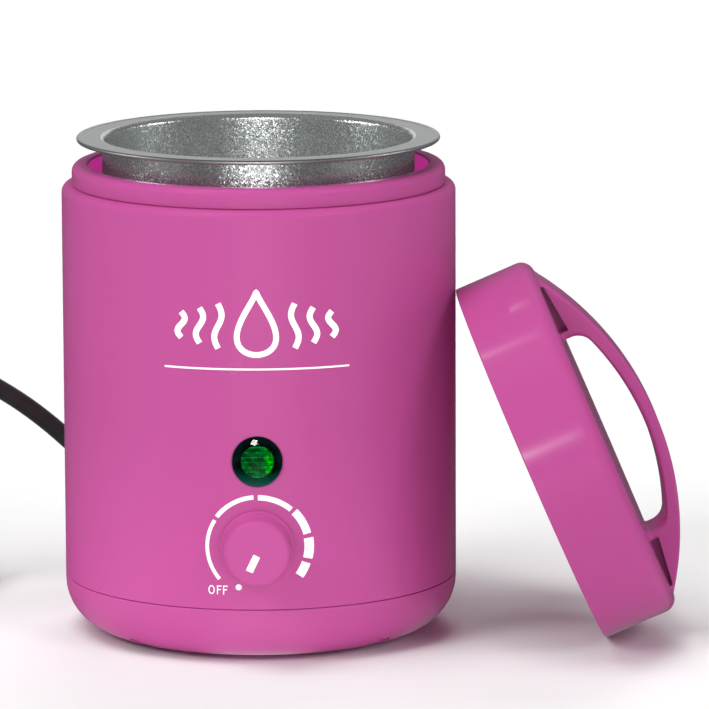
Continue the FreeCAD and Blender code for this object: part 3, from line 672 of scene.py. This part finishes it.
# ---- wax pot ------------------------------------------------------------------------------------
def pot():
    inner_r = pot_r - pot_wall
    under_z = pot_top_z - 0.8
    bead = 0.65
    cup = turned_piece("pot_cup", [
        (0, pot_low.z, 0),
        (pot_r, pot_low.z, 5.0),
        (pot_r, under_z, 1.2),
        (pot_flange_r - 1.1, under_z, 0),
        (pot_flange_r - 1.0, pot_top_z - 2 * bead, 0.3),
        (pot_flange_r, pot_top_z - 2 * bead, bead * 0.95),
        (pot_flange_r, pot_top_z, bead * 0.95),
        (pot_flange_r - 1.7, pot_top_z, 0.3),
        (pot_flange_r - 1.9, pot_top_z - 0.12, 0.3),
        (inner_r, pot_top_z - 0.12, 1.6),
        (inner_r, pot_low.z + pot_wall, 4.3),
        (0, pot_low.z + pot_wall, 0),
    ], turns=320, longest=3.0)
    dress(cup, "spangled_metal", "wax_pot", "wax_pot")
    cup.data.materials.append(finishes["flange_metal"])
    for face in cup.data.polygons:
        middle = face.center / MM
        out = math.hypot(middle.x, middle.y)
        if out > pot_r + 0.35 and middle.z > under_z - 2:
            face.material_index = 1
    return cup


# ---- knob and lamp ------------------------------------------------------------------------------
def knob():
    gate_r = 0.45                 # low pip left in the middle by the moulding
    cap = turned_piece("knob_cap", [
        (3.02, 0, 0),
        (4.6, 0, 0.3),
        (5.3, 3.2, 0),
        (5.3, 8.5, 0.5),
        (knob_r - 2.3, 8.5, 0),
        (knob_r - 2.3, 0, 0),
        (knob_r, 0, 0.25),
        (knob_r, 1.5, 0.6),
        (knob_r - 0.9, 1.75, 0.2),
        (knob_face_r, knob_height - knob_crown, 1.35),
        (gate_r, knob_height, 0.2),
        (0, knob_height + 0.07, 0),
        (0, 8.6, 0),
        (3.02, 8.6, 0),
    ], facing_front(knob_back_y, knob_z), 192, 1.5)
    return dress(cap, "pink_knob", "knob", "control_knob")


def pointer():
    """White bar let into the face of the knob, turned a little past the off dot."""
    half_length, half_width, corner = 2.6, 1.08, 0.22
    middle_x, middle_z = -1.25, 33.33
    middle = Vector((middle_x, middle_z - knob_z))
    lean = math.radians(25.5)
    outline = rounded([
        (-half_width, -half_length, corner),
        (half_width, -half_length, corner),
        (half_width, half_length, corner),
        (-half_width, half_length, corner),
    ], True)
    turned_points = [middle + Matrix.Rotation(-lean, 2) @ point for point in outline]
    sections = []
    for lift, inset in ((-0.3, 0.0), (0.05, 0.0), (0.11, 0.05)):
        section = []
        for point in turned_points:
            place = middle + (point - middle) * (1 - inset / half_width)
            face_y = knob_low.y + knob_crown * place.length / knob_face_r
            section.append(Vector((place.x, face_y - lift, knob_z + place.y)))
        sections.append(section)
    mesh = bmesh.new()
    add_loft(mesh, sections)
    return dress(new_piece("knob_pointer", mesh), "white_ink", "knob")


def lens():
    """Lamp cap: a short rim under a domed face, hollow behind."""
    front = facing_front(lamp_seat_y, lamp_z)
    edge_height, height = 1.3, 3.5
    edge_r = lamp_r - 0.35
    rise = height - edge_height
    sphere_r = (edge_r ** 2 + rise ** 2) / (2 * rise)
    crown = []
    for k in range(17):
        radius = edge_r * (1 - k / 16)
        crown.append((radius, height - sphere_r + math.sqrt(sphere_r ** 2 - radius ** 2), 0))
    dome = turned_piece("lamp_lens_dome", [
        (4.9, 0, 0),
        (lamp_r, 0, 0),
        (lamp_r, edge_height - 0.35, 0),
        *crown,
        (0, 1.4, 0),
        (4.9, 1.4, 0),
    ], front, 128, 0.7)
    return dress(dome, "green_lens", "base", "lamp_lens")


def lens_prisms():
    """Moulded grid of small prisms seen through the middle of the lens."""
    radius, thick = 4.8, 0.5
    root_y = lamp_seat_y - 0.55
    column, row = 0.62, 1.45
    count = 72
    mesh = bmesh.new()
    columns = {}

    def height(x, z):
        ridge = column * (0.5 - abs((x / column) % 1 - 0.5))
        cross = row * (0.5 - abs((z / row) % 1 - 0.5))
        return min(ridge, cross * 0.8)

    for i in range(-count, count + 1):
        for k in range(-count, count + 1):
            u, v = i / count, k / count
            x = radius * u * math.sqrt(1 - v * v / 2)
            z = radius * v * math.sqrt(1 - u * u / 2)
            columns[i, k] = (
                mesh.verts.new((x, root_y - height(x, z), lamp_z + z)),
                mesh.verts.new((x, root_y + thick, lamp_z + z)),
            )
    for i in range(-count, count):
        for k in range(-count, count):
            corners = ((i, k), (i + 1, k), (i + 1, k + 1), (i, k + 1))
            mesh.faces.new([columns[c][0] for c in corners])
            mesh.faces.new([columns[c][1] for c in reversed(corners)])
    rim = [(i, -count) for i in range(-count, count)] + [(count, k) for k in range(-count, count)]
    rim += [(i, count) for i in range(count, -count, -1)] + [(-count, k) for k in range(count, -count, -1)]
    for here, follow in zip(rim, rim[1:] + rim[:1]):
        mesh.faces.new((columns[here][0], columns[here][1], columns[follow][1], columns[follow][0]))
    return dress(new_piece("lamp_prisms", mesh), "lamp_window", "base")


# ---- printed marks ------------------------------------------------------------------------------
def on_drum(x, z, lift):
    return Vector((x, -math.sqrt((drum_r + lift) ** 2 - x * x), z))


def add_ribbon(mesh, path, width, closed=False, across=3):
    """Stroke of ink of the given width along a path of (x, z) points on the front of the drum."""
    rows = []
    for i, here in enumerate(path):
        before = path[i - 1] if closed or i > 0 else here
        after = path[(i + 1) % len(path)] if closed or i < len(path) - 1 else here
        along = (after - before).normalized()
        side = Vector((-along.y, along.x))
        rows.append([here + side * width * (k / across - 0.5) for k in range(across + 1)])
    sections = []
    for row in rows:
        top = [on_drum(p.x, p.y, ink) for p in row]
        under = [on_drum(p.x, p.y, -ink) for p in reversed(row)]
        sections.append(top + under)
    if closed:
        sections.append(sections[0])
    add_loft(mesh, sections, capped=not closed)
    if closed:
        bmesh.ops.remove_doubles(mesh, verts=mesh.verts, dist=1e-5)


def arc_path(centre, radius, start, end, step=0.5):
    """Points round a centre; angles in degrees, clockwise from six o'clock."""
    steps = max(2, math.ceil(abs(math.radians(end - start)) * radius / step))
    points = []
    for k in range(steps + 1):
        angle = math.radians(start + (end - start) * k / steps)
        points.append(centre + Vector((-math.sin(angle), -math.cos(angle))) * radius)
    return points


def dial_marks():
    """Scale round the knob: bands that get wider towards the hot end."""
    centre = Vector((0, knob_z))
    # start and end angle, then inner and outer radius
    bands = (
        (49.5, 122.0, 14.3, 15.4),
        (126.6, 175.5, 14.3, 15.6),
        (180.4, 221.5, 14.0, 15.6),
        (226.0, 255.8, 13.8, 16.1),
        (260.8, 284.0, 13.65, 16.45),
        (289.0, 305.8, 13.6, 16.3),
    )
    mesh = bmesh.new()
    for start, end, inner, outer in bands:
        add_ribbon(mesh, arc_path(centre, (inner + outer) / 2, start, end), outer - inner)
    return dress(new_piece("dial_bands", mesh), "white_ink", "base")


def off_dot():
    dot_x, dot_z, dot_r = -5.69, 24.0, 0.92
    mesh = bmesh.new()
    ring = arc_path(Vector((dot_x, dot_z)), dot_r, 0, 350, 0.16)
    sections = [[on_drum(p.x, p.y, lift) for p in ring] for lift in (-ink, ink)]
    add_loft(mesh, sections)
    return dress(new_piece("dial_off_dot", mesh), "white_ink", "base")


def off_word():
    """The word for the switched-off end of the dial, in plain strokes."""
    low, high, stroke = 21.72, 24.38, 0.34
    left, right = -14.62, -12.72
    steps = 36
    middle = (low + high) / 2
    half_width = (right - left - stroke) / 2
    half_height = (high - low - stroke) / 2
    mesh = bmesh.new()
    round_letter = []
    for k in range(steps):
        angle = TURN * k / steps
        round_letter.append(Vector((
            (left + right) / 2 + half_width * math.cos(angle),
            middle + half_height * math.sin(angle))))
    add_ribbon(mesh, round_letter, stroke, closed=True, across=1)
    for left in (-12.1, -10.3):
        stem = left + stroke / 2
        add_ribbon(mesh, [Vector((stem, low)), Vector((stem, high))], stroke, across=1)
        for bar_z, reach in ((high - stroke / 2, 1.4), (middle + 0.1, 1.2)):
            bar = [Vector((left + stroke + 0.002, bar_z)), Vector((left + reach, bar_z))]
            add_ribbon(mesh, bar, stroke, across=1)
    return dress(new_piece("dial_off_word", mesh), "white_ink", "base")


def wave_path(x, low, high, swing):
    steps = 40
    points = []
    for k in range(steps + 1):
        share = k / steps
        points.append(Vector((x + swing * math.sin(TURN * share), low + (high - low) * share)))
    return points


def drop_path(centre_x, low, width, height):
    """Outline of a falling drop: a round bowl drawn up to a point."""
    steps = 72
    radius = width / 2
    points = []
    for k in range(steps):
        angle = TURN * k / steps
        lift = (1 - math.cos(angle)) / 2
        across = radius * math.sin(angle) * math.sin(angle / 2) ** 1.6 * 1.33
        points.append(Vector((centre_x + across, low + height * (1 - lift))))
    return points


def pictogram():
    """Plain sign for warm wax on the front: a drop between rising waves, over a thin line."""
    drop_low_z, drop_width, drop_height, drop_stroke = 93.2, 12.5, 18.6, 1.7
    wave_z, wave_swing, wave_stroke = 101.6, 1.1, 1.75
    first_wave_x, wave_pitch = 11.2, 5.4
    line_z, line_half, line_stroke, line_steps = 88.9, 27, 0.55, 90
    mesh = bmesh.new()
    add_ribbon(mesh, drop_path(0, drop_low_z, drop_width, drop_height), drop_stroke, closed=True)
    for side in (-1, 1):
        for k, half in enumerate((6.6, 5.2, 3.8)):
            x = side * (first_wave_x + wave_pitch * k)
            path = wave_path(x, wave_z - half, wave_z + half, wave_swing * side)
            add_ribbon(mesh, path, wave_stroke)
    line = []
    for k in range(line_steps + 1):
        line.append(Vector((-line_half + 2 * line_half * k / line_steps, line_z)))
    add_ribbon(mesh, line, line_stroke, across=2)
    return dress(new_piece("warm_wax_sign", mesh), "white_ink", "base")


# ---- lid ----------------------------------------------------------------------------------------
def handle_sections(half_width=8.8):
    """Sections of the arched handle from one foot to the other, in the lid's own frame."""
    outer_r, outer_rise = 90.6, 40.3
    hole_r, hole_rise, hole_half, hole_corner = 82.0, 36.4, 31.8, 5.4
    flare_r, root_z = 1.2, lid_height - 1.6
    outer_centre = outer_rise - outer_r
    hole_centre = hole_rise - hole_r

    def outer_at(angle):
        return Vector((-outer_r * math.sin(angle), outer_centre + outer_r * math.cos(angle)))

    pairs = []
    heights = [root_z, lid_height - 0.8, lid_height + 0.02]
    heights += [lid_height + flare_r * (1 - math.cos(math.radians(15 * k))) for k in range(1, 6)]
    heights.append(lid_height + flare_r)
    for z in heights:
        h = max(0.0, min(flare_r, z - lid_height))
        flare = flare_r - math.sqrt(flare_r ** 2 - (flare_r - h) ** 2)
        outer_x = -math.sqrt(outer_r ** 2 - (z - outer_centre) ** 2)
        pairs.append((Vector((-hole_half + flare, z)), Vector((outer_x, z)), flare))
    start_z = heights[-1]
    corner_x = -hole_half + hole_corner
    corner_z = hole_centre + math.sqrt((hole_r - hole_corner) ** 2 - corner_x ** 2)
    corner_end = math.atan2(-corner_x, corner_z - hole_centre)
    inner = [Vector((-hole_half, start_z + (corner_z - start_z) * k / 4)) for k in range(1, 4)]
    corner_turn = math.pi / 2 - corner_end
    for k in range(13):
        angle = math.pi / 2 - corner_turn * k / 12
        inner.append(Vector((
            corner_x - hole_corner * math.sin(angle),
            corner_z + hole_corner * math.cos(angle))))
    for k in range(1, 33):
        angle = corner_end * (1 - k / 32)
        inner.append(Vector((-hole_r * math.sin(angle), hole_centre + hole_r * math.cos(angle))))
    lengths = [(inner[0] - pairs[-1][0]).length]
    for here, follow in zip(inner, inner[1:]):
        lengths.append(lengths[-1] + (follow - here).length)
    start_angle = math.asin(-pairs[-1][1].x / outer_r)
    for point, length in zip(inner, lengths):
        share = (length / lengths[-1]) ** 0.85
        pairs.append((point, outer_at(start_angle * (1 - share)), 0.0))
    mirrored = [
        (Vector((-a.x, a.y)), Vector((-b.x, b.y)), flare) for a, b, flare in reversed(pairs[:-1])
    ]
    sections = []
    for a, b, flare in pairs + mirrored:
        along = (b - a).normalized()
        reach = (b - a).length
        half = half_width + flare
        outline = rounded([
            (0, -half, 1.5),
            (reach, -half, 1.6),
            (reach, half, 1.6),
            (0, half, 1.5),
        ], True)
        sections.append([Vector((a.x + along.x * p.x, p.y, a.y + along.y * p.x)) for p in outline])
    return sections


def lid():
    cap = turned_piece("lid_shell", [
        (lid_in_r, 0, 0.4),
        (lid_r, 0, 0.5),
        (lid_r, lid_height, 4.1),
        (0, lid_height, 0),
        (0, lid_height - 2.2, 0),
        (lid_in_r, lid_height - 2.2, 2.6),
    ], turns=288, longest=4.0)
    handle_mesh = bmesh.new()
    add_loft(handle_mesh, handle_sections())
    handle = new_piece("handle", handle_mesh)
    cuts = bmesh.new()
    for end in (-1, 1):
        for side in (-1, 1):
            outline = rounded([
                (34.2 * end, lid_height - 0.5, 0),
                (49.8 * end, lid_height - 0.5, 0),
                (49.3 * end, lid_height + 0.9, 0.2),
                (34.2 * end, lid_height + 2.7, 0.5),
            ], True)
            add_loft(cuts, [[Vector((p.x, side * y, p.y)) for p in outline] for y in (3.5, 12.0)])
    combine(handle, new_piece("cuts", cuts), "DIFFERENCE")
    combine(cap, handle, "UNION")
    cap.data.transform(Matrix.Rotation(lid_yaw, 4, "Z") @ Matrix.Rotation(math.pi / 2 - lid_tilt, 4, "Y"))
    low = Vector(min(v.co[i] for v in cap.data.vertices) for i in range(3))
    cap.data.transform(Matrix.Translation(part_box("lid")[0] - low))
    return dress(cap, "pink_lid", "lid", "lid")


shell = casing()
collar()
dish = base()
foot()
cup = pot()
cap = knob()
pointer()
lamp_pieces = [lens(), lens_prisms()]
dial_marks()
off_dot()
off_word()
pictogram()
cover = lid()


# ---- floor, light and camera --------------------------------------------------------------------
def floor():
    """Plain pale floor; mirrored in front of the object, it shows as bright and dark fans."""
    mesh = bmesh.new()
    half, count = 6000, 24
    bmesh.ops.create_grid(mesh, x_segments=count, y_segments=count, size=half)
    ground = new_piece("floor", mesh)
    material, tree, surface = start_material("pale_floor")
    where = place_coordinates(tree)
    hue = mixed(tree, noise(tree, where, 30, 3), (0.90, 0.90, 0.90), (0.93, 0.93, 0.93))
    feed(tree, surface, Base_Color=hue, Roughness=0.9, Specular_IOR_Level=0.1)
    ray = add_node(tree, "ShaderNodeLightPath")
    parts = split(tree, where)
    across = maths(tree, "ABSOLUTE", parts["X"])
    ahead = remap(tree, parts["Y"], -10, 0, 10, 0)
    aside = maths(tree, "DIVIDE", across, maths(tree, "ADD", across, ahead))
    level = stepped(tree, aside, (
        (0, 0.75), (0.16, 0.65), (0.3, 0.06), (0.5, 0.06), (0.66, 0.3), (0.85, 0.25), (1, 0.08)))
    mirrored = add_node(tree, "ShaderNodeEmission", {"Color": (1, 1, 1, 1), "Strength": level})
    shown = add_node(tree, "ShaderNodeMixShader", {
        0: ray.outputs["Is Glossy Ray"], 1: surface.outputs[0], 2: mirrored.outputs[0]})
    tree.links.new(shown.outputs[0], tree.nodes["Material Output"].inputs["Surface"])
    ground.data.materials.append(material)
    return ground


scene_middle = Vector((0.03, 0, 0.07))    # metres; between the drum and the lid


def aim(azimuth, elevation):
    """Direction towards a light; azimuth 0 is in front (-Y) and 90 is on the right (+X), in degrees."""
    a, e = math.radians(azimuth), math.radians(elevation)
    return Vector((math.sin(a) * math.cos(e), -math.cos(a) * math.cos(e), math.sin(e)))


def group_of(name, pieces):
    group = bpy.data.collections.new(name)
    for piece in pieces:
        group.objects.link(piece)
    return group


def hang(name, data, azimuth, elevation, distance, glossy, diffuse, only, shaded_by):
    """Puts a light in its direction; it can light some pieces only, and be shaded by some pieces only."""
    light = bpy.data.objects.new(name, data)
    way = aim(azimuth, elevation)
    light.location = scene_middle + way * distance
    light.rotation_mode = "QUATERNION"
    light.rotation_quaternion = way.to_track_quat("Z", "Y")
    light.visible_glossy = glossy
    light.visible_diffuse = diffuse
    light.visible_camera = False
    bpy.context.scene.collection.objects.link(light)
    if only:
        light.light_linking.receiver_collection = group_of(name + "_lit", only)
    if shaded_by:
        light.light_linking.blocker_collection = group_of(name + "_shade", shaded_by)


def lamp(name, azimuth, elevation, distance, size, level, only, shaded_by=None):
    """Round light seen in mirroring surfaces; level is the brightness it would give a white surface."""
    data = bpy.data.lights.new(name, "AREA")
    data.shape = "DISK"
    data.size = size
    data.energy = level * (math.pi * distance) ** 2
    hang(name, data, azimuth, elevation, distance, True, False, only, shaded_by)


def sun(name, azimuth, elevation, softness, level, shaded_by=None):
    """Wide soft light from far away; level is the brightness it gives a white surface that faces it."""
    data = bpy.data.lights.new(name, "SUN")
    data.angle = math.radians(softness)
    data.energy = level * math.pi
    hang(name, data, azimuth, elevation, 3.0, False, True, None, shaded_by)


def studio(ground):
    """Soft white surroundings, with separate levels for lighting, for mirroring and for the background."""
    world = bpy.data.worlds.new("studio")
    bpy.context.scene.world = world
    world.use_nodes = True
    tree = world.node_tree
    tree.nodes.clear()
    ray = add_node(tree, "ShaderNodeLightPath")
    dome, sheen, seen = [
        add_node(tree, "ShaderNodeBackground", {"Color": (1, 1, 1, 1), "Strength": level})
        for level in (0.22, 0.12, 1.05)
    ]
    lit = add_node(tree, "ShaderNodeMixShader", {
        0: ray.outputs["Is Glossy Ray"], 1: dome.outputs[0], 2: sheen.outputs[0]})
    shown = add_node(tree, "ShaderNodeMixShader", {
        0: ray.outputs["Is Camera Ray"], 1: lit.outputs[0], 2: seen.outputs[0]})
    output = add_node(tree, "ShaderNodeOutputWorld")
    tree.links.new(shown.outputs[0], output.inputs["Surface"])
    sun("overhead", -60, 70, 35, 0.46)
    sun("rear", 170, 50, 30, 0.20)
    sun("key_left", -48, 36, 22, 0.32)
    sun("key_right", 48, 34, 25, 0.23)
    sun("front_fill", 14, 9, 20, 0.10)
    sun("bounce", 0, -30, 50, 0.08, [shell, dish, cover])
    lamp("front_streak", -8.5, 12.9, 2.6, 0.07, 0.085, [cover])
    lamp("knob_glint", -4, 12, 2.6, 0.10, 0.02, [cap])
    lamp("left_streak", -77, 64, 2.0, 0.06, 0.018, [cover])
    lamp("rear_streak", -134, 56.5, 2.0, 0.06, 0.014, [cover])
    lamp("lamp_glint", -13, 46, 1.5, 0.48, 2.0, lamp_pieces)
    lamp("metal_front", -2, 10, 2.2, 0.9, 0.31, [cup], [cap])
    lamp("metal_left", -87, 16, 2.2, 0.8, 0.21, [cup], [cap])
    lamp("metal_right", 87, 16, 2.2, 0.8, 0.18, [cup], [cap])
    lamp("metal_sky", 180, 12, 2.2, 2.0, 0.17, [cup], [ground])


def camera():
    """Long lens a little above the object, almost level with it."""
    data = bpy.data.cameras.new("camera")
    data.sensor_width = 36
    data.lens = 308.44
    data.clip_end = 50
    eye = bpy.data.objects.new("camera", data)
    pitch, roll = 0.177004, -0.003852
    turn = Matrix.Rotation(math.pi / 2 - pitch, 4, "X") @ Matrix.Rotation(roll, 4, "Z")
    eye.matrix_world = Matrix.Translation((0.02853, -1.8, 0.40466)) @ turn
    bpy.context.scene.collection.objects.link(eye)
    bpy.context.scene.camera = eye


studio(floor())
camera()
bpy.context.scene.view_settings.view_transform = "Standard"
